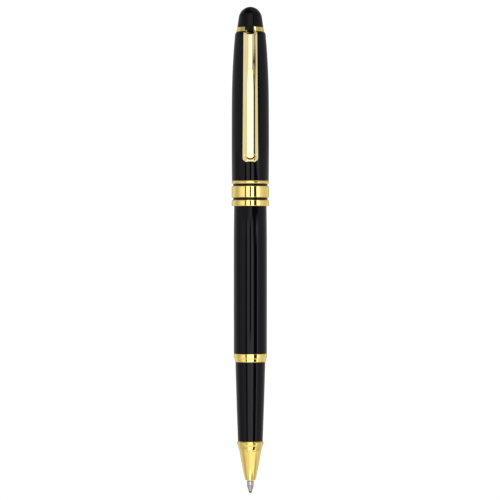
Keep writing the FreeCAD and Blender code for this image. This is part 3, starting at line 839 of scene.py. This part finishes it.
# where the collar and the sides of the finial look
AZIMUTH_HIGH = [
    (-180, 0.4), (-130, 0.7), (-100, 0.45), (-80, 0.40), (-50, 0.48), (-30, 0.8), (-10, 1.3),
    (12, 1.4), (26, 0.9), (29, 0.05), (35, 0.05), (38, 0.7), (60, 0.5), (100, 0.46),
    (130, 0.65), (180, 0.4),
]
# overhead
AZIMUTH_CROWN = [
    (-180, 0.3), (-120, 0.2), (-105, 0.08), (-45, 0.08), (10, 0.10), (30, 0.45), (90, 0.60),
    (150, 0.45), (180, 0.3),
]
# below the camera, where the nose cone looks
AZIMUTH_LOW = [
    (-180, 0.95), (-134, 0.90), (-122, 0.58), (-68, 0.56), (-60, 0.88), (-20, 0.98), (0, 1.22),
    (40, 1.28), (60, 1.05), (68, 0.56), (122, 0.58), (134, 0.90), (180, 0.95),
]
# where the cone's bulge looks: the foot of the right flag leans outwards
AZIMUTH_LOWER = [
    (-180, 0.95), (-122, 0.62), (-66, 0.62), (-30, 0.72), (-24, 1.6), (10, 1.7), (20, 1.7),
    (23, 0.02), (48, 0.02), (51, 1.3), (66, 0.75), (122, 0.62), (180, 0.95),
]
AZIMUTH_LOWEST = [
    (-180, 0.95), (-122, 0.62), (-66, 0.62), (-30, 0.72), (-24, 1.6), (20, 1.7), (26, 1.7),
    (29, 0.02), (55, 0.02), (58, 1.3), (68, 0.75), (122, 0.62), (180, 0.95),
]
# the floor's end of the tent
AZIMUTH_FLOOR = [(-180, 0.9), (0, 1.1), (180, 0.9)]

# rows above and below the level one: elevation where each starts to show and where it is full
TENT_ROWS = [
    (1.72, 1.92, AZIMUTH_UPPER),
    (9.0, 11.5, AZIMUTH_RIB),
    (17.0, 21.0, AZIMUTH_HIGH),
    (42.0, 56.0, AZIMUTH_CROWN),
    (-18.5, -20.5, AZIMUTH_LOW),
    (-27.0, -28.5, AZIMUTH_LOWER),
    (-34.0, -38.0, AZIMUTH_LOWEST),
    (-43.0, -47.0, AZIMUTH_FLOOR),
]

LENS_SHARE = 0.02       # what is left of the light in the dark spot where the camera stands
TABLE_EDGE_SHARE = 0.15     # and in the dark line under it


def tent(world):
    """World light: the tent's rows of radiance, and plain white behind the pen."""
    world.use_nodes = True
    tree = world.node_tree
    tree.nodes.clear()
    link = tree.links.new

    def math_node(kind, a, b=0.0):
        made = tree.nodes.new("ShaderNodeMath")
        made.operation = kind
        for socket, value in zip(made.inputs, (a, b)):
            if hasattr(value, "is_output"):
                link(value, socket)
            else:
                socket.default_value = value
        return made.outputs[0]

    def curve(value, low, high, knots):
        """A piecewise linear function of value, as (value, radiance) knots."""
        top = max(level for at, level in knots)
        share = tree.nodes.new("ShaderNodeMapRange")
        link(value, share.inputs["Value"])
        share.inputs["From Min"].default_value = low
        share.inputs["From Max"].default_value = high
        ramp = tree.nodes.new("ShaderNodeValToRGB")
        ramp.color_ramp.interpolation = "LINEAR"
        stops = ramp.color_ramp.elements
        while len(stops) > 1:
            stops.remove(stops[-1])
        for index, (at, level) in enumerate(knots):
            place = (at - low) / (high - low)
            if index:
                stop = stops.new(place)
            else:
                stop = stops[0]
                stop.position = place
            stop.color = (level / top,) * 3 + (1.0,)
        link(share.outputs["Result"], ramp.inputs["Fac"])
        return math_node("MULTIPLY", ramp.outputs["Color"], top)

    def mixed(share, a, b):
        made = tree.nodes.new("ShaderNodeMix")
        made.data_type = "FLOAT"
        for index, value in ((0, share), (2, a), (3, b)):
            if hasattr(value, "is_output"):
                link(value, made.inputs[index])
            else:
                made.inputs[index].default_value = value
        return made.outputs[0]

    place = tree.nodes.new("ShaderNodeTexCoord").outputs["Generated"]
    apart = tree.nodes.new("ShaderNodeSeparateXYZ")
    link(place, apart.inputs[0])
    x, y, z = apart.outputs
    azimuth = math_node("DEGREES", math_node("ARCTAN2", x, math_node("MULTIPLY", y, -1.0)))
    elevation = math_node("DEGREES", math_node("ARCSINE", z))

    light = curve(azimuth, -180, 180, AZIMUTH_LEVEL)
    narrow = curve(azimuth, -180, 180, AZIMUTH_LEVEL_HIGH)
    light = mixed(curve(elevation, -5, 5, [(0.4, 0.0), (1.2, 1.0)]), light, narrow)
    lens_az = curve(azimuth, -10, 10, [(-5.5, 0.0), (-4.5, 1.0), (4.5, 1.0), (5.5, 0.0)])
    lens_el = curve(elevation, -4, 4, [(-2.1, 0.0), (-1.7, 1.0), (2.6, 1.0), (3.2, 0.0)])
    lens = math_node("MULTIPLY", lens_az, lens_el)
    light = math_node("MULTIPLY", light, mixed(lens, 1.0, LENS_SHARE))
    for start, full, knots in TENT_ROWS:
        share = curve(elevation, -90, 90, sorted([(start, 0.0), (full, 1.0)]))
        light = mixed(share, light, curve(azimuth, -180, 180, knots))

    edge_el = curve(elevation, -30, 0, [(-19.5, 0.0), (-18.5, 1.0), (-14.0, 1.0), (-12.5, 0.0)])
    edge_az = curve(azimuth, -90, 90, [(-60.0, 0.0), (-45.0, 1.0), (45.0, 1.0), (60.0, 0.0)])
    edge = math_node("MULTIPLY", edge_el, edge_az)
    light = math_node("MULTIPLY", light, mixed(edge, 1.0, TABLE_EDGE_SHARE))

    lit = tree.nodes.new("ShaderNodeBackground")
    lit.inputs["Color"].default_value = (1.0, 0.995, 0.985, 1.0)
    link(light, lit.inputs["Strength"])
    plain = tree.nodes.new("ShaderNodeBackground")
    plain.inputs["Color"].default_value = (1.0, 1.0, 1.0, 1.0)
    plain.inputs["Strength"].default_value = 1.05
    seen = tree.nodes.new("ShaderNodeLightPath").outputs["Is Camera Ray"]
    either = tree.nodes.new("ShaderNodeMixShader")
    link(seen, either.inputs[0])
    link(lit.outputs[0], either.inputs[1])
    link(plain.outputs[0], either.inputs[2])
    out = tree.nodes.new("ShaderNodeOutputWorld")
    link(either.outputs[0], out.inputs["Surface"])


world = bpy.data.worlds.new("light_tent")
bpy.context.scene.world = world
tent(world)


FLOOR_Z = -0.006
FLOOR_HALF = 3.0


def floor():
    """Plain pale floor, low enough for the front section to be screwed out above it."""
    half = FLOOR_HALF
    corners = [(-half, -half, 0.0), (half, -half, 0.0), (half, half, 0.0), (-half, half, 0.0)]
    plane = new_piece("floor", corners, [(0, 1, 2, 3)])
    g = Graph("pale_floor")
    grain = g.noise(g.scaled(60.0, 60.0, 60.0), 1.0, 3.0)
    g.link(g.blend(grain, (0.86, 0.86, 0.855), (0.90, 0.90, 0.895)), g.bsdf.inputs["Base Color"])
    g.bsdf.inputs["Roughness"].default_value = 0.9
    g.bsdf.inputs["Emission Color"].default_value = (1.0, 1.0, 1.0, 1.0)
    g.bsdf.inputs["Emission Strength"].default_value = 0.62
    plane.data.materials.append(g.material)
    plane.location.z = FLOOR_Z
    plane.visible_glossy = False


floor()


# ---------------------------------------------------------------- camera

CAMERA_DISTANCE = 0.9
CAMERA_HEIGHT = 0.07776
CAMERA_ASIDE = -0.00011     # the pen stands a hair to the right of the middle
FRAME_WIDTH = 0.16          # width of the view at the pen's axis


def camera():
    """Level with the middle of the pen, square on to the clip."""
    data = bpy.data.cameras.new("camera")
    data.sensor_width = 36.0
    data.lens = data.sensor_width * CAMERA_DISTANCE / FRAME_WIDTH
    data.clip_start = 0.05
    data.clip_end = 20.0
    eye = bpy.data.objects.new("camera", data)
    eye.location = (CAMERA_ASIDE, -CAMERA_DISTANCE, CAMERA_HEIGHT)
    eye.rotation_euler = (math.radians(90), 0.0, 0.0)
    bpy.context.scene.collection.objects.link(eye)
    bpy.context.scene.camera = eye


camera()
bpy.context.scene.view_settings.view_transform = "Standard"
